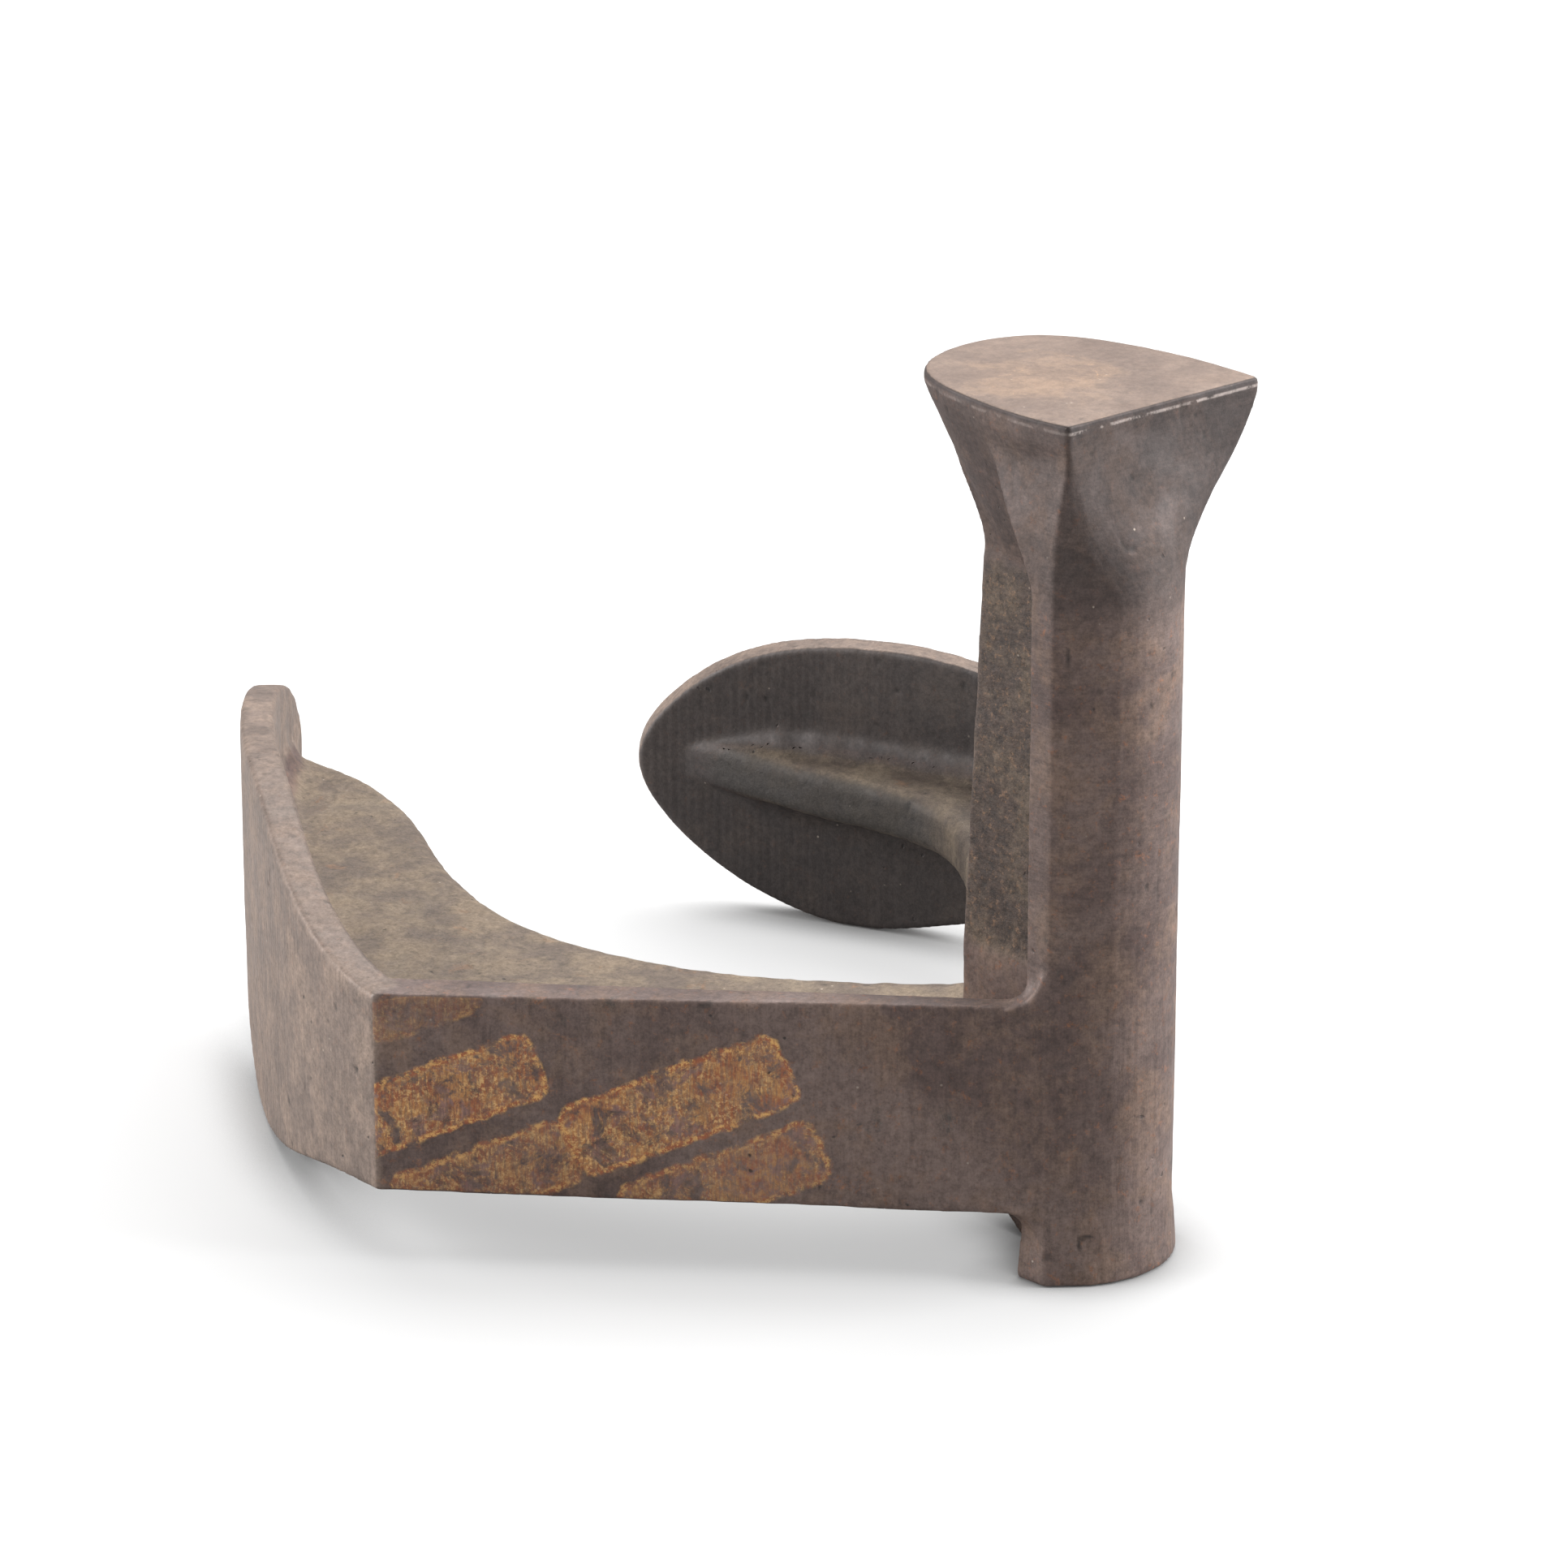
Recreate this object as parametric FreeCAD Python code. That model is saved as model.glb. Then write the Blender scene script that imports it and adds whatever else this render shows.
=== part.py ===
import FreeCAD, Part
import math
import os

# Paperweight cast as a three-armed shoe last (a cobbler's foot) in miniature.
# Real build: one brass casting. Each named limb of it is its own solid here;
# limbs meet face to face and share one rigid body.
# Frame: mm, Z up, long arm runs to -X, short arm to +Y, origin under the box centre.

os.makedirs("parts", exist_ok=True)
V = FreeCAD.Vector

# ---- driving dimensions (mm) ----
HEIGHT = 93.8            # floor to the heel face
MID_Z = 19.4             # level of the two arm webs
ARM_LOW, ARM_HIGH = 7.7, 31.2   # arm flange, lower and upper edge at the post
FLARE_Z = 74.5           # the post starts to flare here
HEEL_THICK = 2.6         # heel plate, with its sloped sides
HEEL_LAND = 1.1          # upright rim at the top of the heel plate
WEB_THICK = 4.6          # long arm web
SHORT_WEB_THICK = 6.4    # short arm web, thicker on its under side
SOLE_THICK = 4.0         # sole plates
POST_WEB_HALF = 2.2      # half thickness of the post web
HUB_X, HUB_Y = 6.5, 2.7  # apex of the post's rounded outer corner
EDGE = 0.4               # rounding of cast edges
CORNER = 3.4             # fillets between arm and post, seen from the side

C45 = math.sqrt(0.5)


def hub(e, n, z=0.0):
    """Point from hub coordinates: e across the post flange, n into the web."""
    return V(HUB_X + (e - n) * C45, HUB_Y + (e + n) * C45, z)


def line(a, b):
    return Part.LineSegment(a, b).toShape()


def arc(a, b, c):
    return Part.Arc(a, b, c).toShape()


def spline(points):
    curve = Part.BSplineCurve()
    curve.interpolate(points)
    return curve.toShape()


def face(edges):
    return Part.Face(Part.Wire(edges))


def polygon(points):
    return Part.makePolygon(points + [points[0]])


def rounded(shape, radius, keep):
    """Round the edges that keep() picks; the shape comes back as it was if that fails."""
    edges = [edge for edge in shape.Edges if keep(edge)]
    for size in (radius, radius * 0.6, radius * 0.3):
        try:
            new = shape.makeFillet(size, edges)
            if new.isValid() and new.Volume > 0.5 * shape.Volume:
                return new
        except Exception:
            continue
    return shape


# ---- heel post: flange with a rounded outer corner, web behind it ----
def flange_wire(z, left, right, back_left, back_right, bulge):
    """Flange section at z. bulge 1 is the full rounded corner, 0 a straight front."""
    a, c = hub(left[0], left[1], z), hub(right[0], right[1], z)

    def front(share, depth):
        e = left[0] + (right[0] - left[0]) * share
        n = left[1] + (right[1] - left[1]) * share
        return hub(e, n - depth * bulge, z)

    side = 0.03 + 0.14 * bulge
    a2, mid, c2 = front(side, 3.3), front(0.5, 6.0), front(1 - side, 3.3)
    d, e = hub(back_right[0], back_right[1], z), hub(back_left[0], back_left[1], z)
    return Part.Wire([line(a, a2), arc(a2, mid, c2), line(c2, c), line(c, d), line(d, e), line(e, a)])


def web_wire(z, start, end, half, centre):
    pts = [(centre - half, start), (centre + half, start), (centre + half, end), (centre - half, end)]
    return polygon([hub(e, n, z) for e, n in pts])


POST = dict(left=(-9.9, 6.0), right=(9.9, 6.0), back_left=(-9.9, 9.2), back_right=(9.9, 9.2), bulge=1.0)
post_flange = Part.makeLoft([flange_wire(ARM_HIGH, **POST), flange_wire(FLARE_Z, **POST)], True, True)
hub_flange = Part.makeLoft([flange_wire(ARM_LOW, **POST), flange_wire(ARM_HIGH, **POST)], True, True)
post_web = Part.makeLoft([web_wire(ARM_HIGH, 9.2, 25.6, POST_WEB_HALF, 0),
                          web_wire(FLARE_Z, 9.2, 23.3, POST_WEB_HALF, 0)], True, True)
hub_web = Part.makeLoft([web_wire(ARM_LOW, 9.2, 25.0, POST_WEB_HALF, 0),
                         web_wire(ARM_HIGH, 9.2, 25.6, POST_WEB_HALF, 0)], True, True)

# flare under the heel plate: sections from the post up to the plate
FLARE = [
    # z, left, right, back_left, back_right, bulge, web end, web half, web centre
    (FLARE_Z, (-9.9, 6.0), (9.9, 6.0), (-9.9, 9.2), (9.9, 9.2), 1.0, 23.3, 2.2, 0.0),
    (78.6, (-9.9, 6.0), (11.1, 5.8), (-9.9, 10.4), (11.1, 10.2), 0.86, 23.8, 2.4, 0.2),
    (83.6, (-9.5, 5.7), (14.4, 5.0), (-9.3, 13.6), (14.3, 13.4), 0.45, 26.2, 4.1, 1.5),
    (88.6, (-9.0, 5.2), (17.2, 4.0), (-7.7, 17.2), (16.6, 17.2), 0.10, 28.6, 6.2, 3.9),
    (HEIGHT - HEEL_THICK, (-8.9, 5.1), (18.1, 3.5), (-7.9, 18.6), (17.3, 18.6), 0.01, 29.6, 7.0, 4.3),
]
flare_flange = Part.makeLoft([flange_wire(*row[:6]) for row in FLARE], True, False)
flare_web = Part.makeLoft([web_wire(row[0], 7.0, row[6], row[7], row[8]) for row in FLARE], True, False)

# ---- heel plate: D-shaped, its sides run on into the flare ----
HEEL_FACE = [(18.4, 3.4), (18.9, 12.0), (17.7, 22.8), (13.2, 30.9), (4.6, 33.5),
             (-4.1, 29.8), (-8.2, 20.0), (-9.3, 11.5), (-8.9, 5.1)]
HEEL_UNDER = [(18.1, 3.5), (18.5, 12.0), (17.2, 22.4), (12.9, 30.2), (4.5, 32.8),
              (-3.9, 29.2), (-7.9, 19.8), (-9.2, 11.6), (-8.9, 5.1)]


def heel_wire(points, z):
    rim = spline([hub(e, n, z) for e, n in points])
    front = line(hub(*points[-1], z), hub(*points[0], z))
    return Part.Wire([rim, front])


under_z = HEIGHT - HEEL_THICK
land_z = HEIGHT - HEEL_LAND
sides = Part.makeLoft([heel_wire(HEEL_UNDER, under_z), heel_wire(HEEL_FACE, land_z)], True, True)
land = Part.Face(heel_wire(HEEL_FACE, land_z)).extrude(V(0, 0, HEEL_LAND))
heel_plate = sides.fuse(land).removeSplitter()
heel_plate = rounded(heel_plate, EDGE, lambda edge: edge.BoundBox.ZMin > HEIGHT - 0.01)

# the outline of the plate narrows in a straight slope onto the post web
neck = [((e - 4.0) * 0.17, 9.2 + (n - 5.1) * 0.51) for e, n in HEEL_UNDER]
flare_cone = Part.makeLoft([heel_wire(neck, FLARE_Z), heel_wire(HEEL_UNDER, under_z)], True, True)
heel_flare = flare_flange.fuse(flare_web).fuse(flare_cone).removeSplitter()

# ---- foot stub under the hub ----
STUB = dict(left=(-10.4, 5.4), right=(10.4, 5.4), back_left=(-10.4, 9.6), back_right=(10.4, 9.6), bulge=0.9)
stub_flange = Part.makeLoft([flange_wire(0, **STUB), flange_wire(ARM_LOW, **POST)], True, True)
stub_web = Part.makeLoft([web_wire(0, 8.0, 16.0, 2.6, 0), web_wire(ARM_LOW, 8.0, 25.0, POST_WEB_HALF, 0)],
                         True, True)
foot_stub = stub_flange.fuse(stub_web).removeSplitter()

# ---- sole plates: a curved strip on edge, trimmed to a sole outline ----
LONG_PLAN = [(-74.7, 5.5), (-81.2, 16.7), (-88.4, 39.5), (-92.8, 65.2), (-93.7, 84.0), (-91.6, 104.0)]
LONG_TOP = [(5.0, 30.6), (18.0, 32.6), (31.0, 36.2), (46.0, 39.5), (69.5, 38.2), (88.0, 36.0), (96.5, 31.6)]
LONG_LOW = [(5.0, 8.3), (18.0, 6.2), (31.0, 2.3), (45.0, -0.1), (69.5, 4.6), (88.0, 11.0), (96.5, 18.4)]
LONG_TIP = (99.6, 25.2)
SHORT_PLAN = [(3.6, 92.0), (-8.0, 99.6), (-20.7, 106.3), (-35.5, 112.2), (-50.2, 117.0)]
SHORT_TOP = [(4.2, 30.0), (-2.5, 33.0), (-9.5, 35.0), (-20.7, 35.5), (-33.0, 33.6), (-44.6, 26.6)]
SHORT_LOW = [(4.2, 8.0), (-2.5, 5.0), (-10.5, 2.7), (-22.5, -0.1), (-33.0, 2.0), (-44.6, 9.6)]
SHORT_TIP = (-49.3, 18.2)


def offset(points, depth):
    """The same plan line moved sideways by depth, towards the inside of the casting."""
    moved = []
    for i, (x, y) in enumerate(points):
        x0, y0 = points[max(i - 1, 0)]
        x1, y1 = points[min(i + 1, len(points) - 1)]
        size = math.hypot(x1 - x0, y1 - y0)
        nx, ny = (y1 - y0) / size, -(x1 - x0) / size
        moved.append((x + nx * depth, y + ny * depth))
    return moved


def strip(points, depth, low, high):
    outer = [V(x, y, low) for x, y in points]
    inner = [V(x, y, low) for x, y in offset(points, depth)]
    edges = [spline(outer), line(outer[-1], inner[-1]), spline(list(reversed(inner))), line(inner[0], outer[0])]
    return face(edges).extrude(V(0, 0, high - low))


def outline(top, low, tip, along_y):
    """Sole outline as a solid across the plate: top edge, rounded toe, lower edge."""
    path = top + [tip] + list(reversed(low))
    if along_y:
        pts = [V(-120, s, z) for s, z in path]
        return face([spline(pts), line(pts[-1], pts[0])]).extrude(V(160, 0, 0))
    pts = [V(s, 60, z) for s, z in path]
    return face([spline(pts), line(pts[-1], pts[0])]).extrude(V(0, 90, 0))


above_floor = Part.makeBox(400, 400, 200, V(-200, -200, 0))
long_strip = strip(LONG_PLAN, SOLE_THICK, -5, 50)
long_plate = long_strip.common(outline(LONG_TOP, LONG_LOW, LONG_TIP, True))
long_plate = rounded(long_plate, EDGE, lambda edge: edge.Length > 60).common(above_floor)
short_strip = strip(SHORT_PLAN, -SOLE_THICK, -5, 50)
short_plate = short_strip.common(outline(SHORT_TOP, SHORT_LOW, SHORT_TIP, False))
short_plate = rounded(short_plate, EDGE, lambda edge: edge.Length > 60).common(above_floor)

# ---- arm flanges: tapered bars flush with the outer corner of the post ----
LONG_BAR = [(-3.0, 0.0), (-74.7, 5.5), (-72.6, 10.4), (-9.0, 3.4), (-3.0, 3.2)]
SHORT_BAR = [(9.2, 12.0), (3.6, 92.0), (-1.2, 90.2), (5.8, 18.2), (6.0, 12.0)]


def bar(points, side):
    """Flange of one arm. Its depth shrinks a little towards the sole plate."""
    solid = face([line(V(*a, ARM_LOW), V(*b, ARM_LOW)) for a, b in zip(points, points[1:] + points[:1])])
    solid = solid.extrude(V(0, 0, ARM_HIGH - ARM_LOW))
    far = points[1][0] if side == "x" else points[1][1]
    near = points[0][0] if side == "x" else points[0][1]
    trim = [(near, ARM_LOW), (far, 8.3), (far * 1.1, 8.3), (far * 1.1, 30.7), (far, 30.7), (near, ARM_HIGH)]
    if side == "x":
        cutter = Part.Face(polygon([V(s, -20, z) for s, z in trim])).extrude(V(0, 60, 0))
    else:
        cutter = Part.Face(polygon([V(-40, s, z) for s, z in trim])).extrude(V(80, 0, 0))
    return solid.common(cutter)


def corner_fillets(corner, along, across, thick):
    """Hollow fillets above and below an arm flange where it meets the post and the stub."""
    solids = []
    for z, up, size in ((ARM_HIGH, 1, CORNER), (ARM_LOW, -1, CORNER * 0.7)):
        a = corner + V(0, 0, z)
        foot, top = a + along * size, a + V(0, 0, up * size)
        middle = a + (along + V(0, 0, up)) * (size * (1 - C45))
        root = V(0, 0, -0.6 * up)
        ends = [top, top - along * 3, a - along * 3 + root, foot + root, foot]
        path = [arc(foot, middle, top)] + [line(p, q) for p, q in zip(ends, ends[1:])]
        solids.append(face(path).extrude(across * thick))
    return solids


long_bar = bar(LONG_BAR, "x").multiFuse(corner_fillets(V(-5.6, 0.05, 0), V(-1, 0, 0), V(0, 1, 0), 3.2))
short_bar = bar(SHORT_BAR, "y").multiFuse(corner_fillets(V(9.15, 14.8, 0), V(0, 1, 0), V(-1, 0, 0), 3.2))
for solid in (hub_flange, post_flange, stub_flange):
    long_bar = long_bar.cut(solid)
    short_bar = short_bar.cut(solid)
long_bar = long_bar.cut(long_plate).removeSplitter()
short_bar = short_bar.cut(short_plate).removeSplitter()

# ---- arm webs: level shelves inside the flanges, with a hollow-curved free edge ----
LONG_EDGE = [(-90.4, 97.0), (-87.6, 94.2), (-82.5, 89.6), (-75.6, 79.6), (-68.0, 58.2), (-57.4, 43.0),
             (-42.0, 34.4), (-24.4, 30.6), (-12.4, 30.4)]
SHORT_EDGE = [(-12.4, 30.4), (-11.2, 45.0), (-11.0, 70.0), (-15.0, 86.5), (-28.6, 98.4), (-40.0, 108.2), (-48.2, 113.2)]
LONG_TILT = 2.6          # the long web climbs towards its toe, degrees


def shelf(edge_points, closing, thick):
    """Level shelf with its free edge rounded over. Its top stays at the same height for any thickness."""
    low = MID_Z + WEB_THICK / 2 - thick
    free = spline([V(x, y, low) for x, y in edge_points])
    pts = [V(*edge_points[-1], low)] + [V(x, y, low) for x, y in closing] + [V(*edge_points[0], low)]
    edges = [free] + [line(a, b) for a, b in zip(pts, pts[1:])]
    solid = face(edges).extrude(V(0, 0, thick))
    length = free.Length
    return rounded(solid, 1.9, lambda edge: abs(edge.Length - length) < 0.01)


long_web = shelf(LONG_EDGE, [(5.0, 5.0), (-4.0, 1.5), (-74.0, 7.0), (-80.0, 16.5), (-87.0, 39.5),
                             (-91.4, 65.2), (-92.4, 81.0)], WEB_THICK)
long_web = long_web.rotate(V(0, 6, MID_Z), V(1, 0, 0), LONG_TILT) or long_web
short_web = shelf(SHORT_EDGE, [(-34.5, 110.0), (-20.0, 103.0), (-8.0, 97.0), (2.5, 91.0), (8.0, 14.0),
                               (5.0, 8.0)], SHORT_WEB_THICK)
hub_body = hub_flange.fuse(hub_web).removeSplitter()
long_web = long_web.cut(hub_body).cut(long_bar).cut(long_plate)
short_web = short_web.cut(hub_body).cut(short_bar).cut(short_plate).cut(long_web)

parts = {
    "heel_plate": heel_plate,
    "heel_flare": heel_flare,
    "heel_post_flange": post_flange,
    "heel_post_web": post_web,
    "corner_hub": hub_body,
    "foot_stub": foot_stub,
    "long_arm_flange": long_bar,
    "long_arm_web": long_web,
    "long_sole_plate": long_plate,
    "short_arm_flange": short_bar,
    "short_arm_web": short_web,
    "short_sole_plate": short_plate,
}

box = Part.makeCompound(list(parts.values())).optimalBoundingBox(True, False)
shift = V(-(box.XMin + box.XMax) / 2, -(box.YMin + box.YMax) / 2, -box.ZMin)
for name, shape in parts.items():
    solids = sorted(shape.Solids, key=lambda s: -s.Volume)
    print(name, "solids", [round(s.Volume, 1) for s in solids], "valid", shape.isValid())
    shape = solids[0]
    shape.translate(shift)
    shape.exportStep("parts/" + name + ".step")
print("shift", shift, "box", box)
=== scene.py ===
import math
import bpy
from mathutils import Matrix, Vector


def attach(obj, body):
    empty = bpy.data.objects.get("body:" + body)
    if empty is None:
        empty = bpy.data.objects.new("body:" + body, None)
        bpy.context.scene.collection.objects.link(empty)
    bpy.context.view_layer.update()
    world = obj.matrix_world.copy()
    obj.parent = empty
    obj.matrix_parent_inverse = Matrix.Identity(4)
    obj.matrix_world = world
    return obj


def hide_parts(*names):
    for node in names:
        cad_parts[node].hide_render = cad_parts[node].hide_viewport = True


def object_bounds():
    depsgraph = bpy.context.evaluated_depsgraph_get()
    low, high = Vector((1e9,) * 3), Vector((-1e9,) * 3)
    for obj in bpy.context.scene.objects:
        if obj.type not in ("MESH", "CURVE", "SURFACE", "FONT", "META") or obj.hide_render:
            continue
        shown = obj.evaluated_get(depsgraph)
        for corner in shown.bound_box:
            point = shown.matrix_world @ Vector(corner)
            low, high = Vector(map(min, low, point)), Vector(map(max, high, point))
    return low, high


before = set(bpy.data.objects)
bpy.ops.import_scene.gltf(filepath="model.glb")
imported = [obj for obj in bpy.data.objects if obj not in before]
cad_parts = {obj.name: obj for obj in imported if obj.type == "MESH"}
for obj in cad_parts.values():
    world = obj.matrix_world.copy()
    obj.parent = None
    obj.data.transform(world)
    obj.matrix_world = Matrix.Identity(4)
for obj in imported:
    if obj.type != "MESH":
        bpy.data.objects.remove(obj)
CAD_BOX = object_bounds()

from types import SimpleNamespace

import bpy
import numpy as np
from mathutils import Euler, Vector

# ---------------------------------------------------------------- sizes (metres)
VOXEL = 0.00035   # grid step of the casting's skin
FILLET = 0.0042        # radius of the casting fillets in inner corners
SOFTEN = 0.00024       # how far outer edges are rounded
MARGIN = math.ceil(FILLET / VOXEL) + 4      # empty voxels around the casting
WAVE = 0.00010         # hand-dressed waviness of the skin
GRAIN = 0.00005        # lumps of the sand mould
CHIP_DEPTH = 0.00022   # chips along outer edges
PIT_DEPTH = 0.00016    # casting pits
WEB_SPREAD = 0.0012    # how softly the webs' finish fades into their neighbours
SOLE_SPREAD = 0.0006   # the same for the sole plates
BEND_SPREAD = 0.0005   # reach of the test for outer edges and inner corners

# ---------------------------------------------------------------- working values of the grid
BATCH = 1500000            # line crossings worked out at a time, to spare memory
NUDGE = (1.3e-7, 1.7e-7)   # keeps the sampling lines off the CAD's own edges
FAR = 20000                # squared distance that stands for too far
CLOSE_SLACK = 0.8          # voxels by which the filleted core stays inside the faces
CLOSE_BLUR = 1.3           # voxels
LIMB_BLUR = 2.0            # coarse voxels
SLOPE_STEP = 0.8           # voxels
TINY = 1e-9                # guards divisions

WEBS = ("long_arm_web", "short_arm_web", "heel_post_web")
SOLES = ("long_sole_plate", "short_sole_plate")
ALL = tuple(sorted(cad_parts))


# ---------------------------------------------------------------- the casting as a filled grid
def triangles(names):
    """Corners of every triangle of the named nodes, one array of (count, 3, 3)."""
    found = []
    for name in names:
        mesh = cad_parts[name].data
        mesh.calc_loop_triangles()
        points = np.empty(len(mesh.vertices) * 3)
        mesh.vertices.foreach_get("co", points)
        corners = np.empty(len(mesh.loop_triangles) * 3, dtype=np.int32)
        mesh.loop_triangles.foreach_get("vertices", corners)
        found.append(points.reshape(-1, 3)[corners.reshape(-1, 3)])
    return np.concatenate(found)


def crossings(tri, start, step, shape):
    """Where upright lines through the fine columns cross the triangles: column, height and sign."""
    uv = (tri[:, :, :2] - start[:2]) / step
    low = np.clip(np.ceil(uv.min(1)).astype(int), 0, shape)
    high = np.clip(np.floor(uv.max(1)).astype(int), -1, np.array(shape) - 1)
    wide = np.maximum(high - low + 1, 0)
    count = wide[:, 0] * wide[:, 1]
    a, b, c = uv[:, 0], uv[:, 1], uv[:, 2]
    area = (b[:, 0] - a[:, 0]) * (c[:, 1] - a[:, 1]) - (b[:, 1] - a[:, 1]) * (c[:, 0] - a[:, 0])
    count[np.abs(area) < TINY] = 0
    out = []
    groups = np.searchsorted(np.cumsum(count), np.arange(0, count.sum(), BATCH)[1:])
    for part in np.split(np.arange(len(tri)), groups):
        n = count[part]
        owner = np.repeat(part, n)
        local = np.arange(n.sum()) - np.repeat(np.cumsum(n) - n, n)
        x = low[owner, 0] + local % np.maximum(wide[owner, 0], 1)
        y = low[owner, 1] + local // np.maximum(wide[owner, 0], 1)
        pa, pb, pc = a[owner], b[owner], c[owner]
        wb = ((x - pa[:, 0]) * (pc[:, 1] - pa[:, 1]) - (y - pa[:, 1]) * (pc[:, 0] - pa[:, 0])) / area[owner]
        wc = ((pb[:, 0] - pa[:, 0]) * (y - pa[:, 1]) - (pb[:, 1] - pa[:, 1]) * (x - pa[:, 0])) / area[owner]
        inside = (wb >= 0) & (wc >= 0) & (wb + wc <= 1)
        owner, x, y, wb, wc = owner[inside], x[inside], y[inside], wb[inside], wc[inside]
        z = tri[owner, 0, 2] * (1 - wb - wc) + tri[owner, 1, 2] * wb + tri[owner, 2, 2] * wc
        out.append((x, y, z, np.sign(area[owner])))
    return [np.concatenate(column) for column in zip(*out)]


def coverage(names, start, shape, step=VOXEL, lines=2):
    """How full each voxel is, from 0 to 1. Each voxel column is sampled by lines x lines upright lines."""
    fine = (shape[0] * lines, shape[1] * lines)
    first = np.array(start) + [step * 0.5 / lines + NUDGE[0], step * 0.5 / lines + NUDGE[1], 0]
    x, y, z, sign = crossings(triangles(names), first, step / lines, fine)
    net = np.bincount(x * fine[1] + y, weights=sign, minlength=fine[0] * fine[1])
    sound = np.abs(net) < 0.5
    keep = sound[x * fine[1] + y]
    x, y, z, sign = x[keep], y[keep], z[keep], sign[keep]
    good = sound.reshape(shape[0], lines, shape[1], lines).sum(axis=(1, 3))
    height = (z - start[2]) / step
    k = np.floor(height).astype(int)
    flat = ((x // lines) * shape[1] + y // lines) * shape[2] + k
    size = shape[0] * shape[1] * shape[2]
    whole = np.bincount(flat, weights=sign, minlength=size).reshape(shape)
    part = np.bincount(flat, weights=sign * (height - k), minlength=size).reshape(shape)
    above = np.cumsum(whole[:, :, ::-1], axis=2)[:, :, ::-1]
    below = above - whole
    filled = (below + part) / np.maximum(good, 1)[:, :, None]
    return np.clip(filled, 0, 1).astype(np.float32)


def slide(array, axis, by, fill):
    """The array moved by a number of voxels along an axis."""
    moved = np.full_like(array, fill)
    to, fro = [slice(None)] * 3, [slice(None)] * 3
    to[axis] = slice(by, None) if by > 0 else slice(None, by)
    fro[axis] = slice(None, -by) if by > 0 else slice(-by, None)
    moved[tuple(to)] = array[tuple(fro)]
    return moved


def nearest(inside, reach):
    """Squared distance in voxels to the nearest inside voxel, right up to reach."""
    squared = np.where(inside, 0, FAR).astype(np.int16)
    for axis in range(3):
        best = squared.copy()
        for by in range(1, reach + 1):
            for way in (by, -by):
                np.minimum(best, slide(squared, axis, way, FAR) + np.int16(by * by), out=best)
        squared = np.minimum(best, FAR)
    return squared


def blur(array, sigma):
    """Gaussian blur, sigma in voxels."""
    reach = max(1, int(math.ceil(sigma * 2.6)))
    weights = np.exp(-0.5 * (np.arange(reach + 1) / sigma) ** 2)
    weights /= weights[0] + 2 * weights[1:].sum()
    for axis in range(3):
        total = array * np.float32(weights[0])
        for by in range(1, reach + 1):
            total += np.float32(weights[by]) * (slide(array, axis, by, 0) + slide(array, axis, -by, 0))
        array = total
    return array


def filleted(cover):
    """Fills inner corners with a round fillet and leaves flat and convex faces where they are."""
    radius = FILLET / VOXEL
    reach = int(math.ceil(radius)) + 1
    grown = nearest(cover > 0.5, reach) <= radius * radius
    closed = nearest(~grown, reach) > (radius + CLOSE_SLACK) ** 2
    return np.maximum(cover, blur(closed.astype(np.float32), CLOSE_BLUR))


# ---------------------------------------------------------------- grid to mesh
CORNERS = [(dx, dy, dz) for dx in (0, 1) for dy in (0, 1) for dz in (0, 1)]
EDGE_ENDS = [((0, 0, 0), (1, 0, 0)), ((0, 1, 0), (1, 1, 0)), ((0, 0, 1), (1, 0, 1)), ((0, 1, 1), (1, 1, 1)),
             ((0, 0, 0), (0, 1, 0)), ((1, 0, 0), (1, 1, 0)), ((0, 0, 1), (0, 1, 1)), ((1, 0, 1), (1, 1, 1)),
             ((0, 0, 0), (0, 0, 1)), ((1, 0, 0), (1, 0, 1)), ((0, 1, 0), (0, 1, 1)), ((1, 1, 0), (1, 1, 1))]


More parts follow.
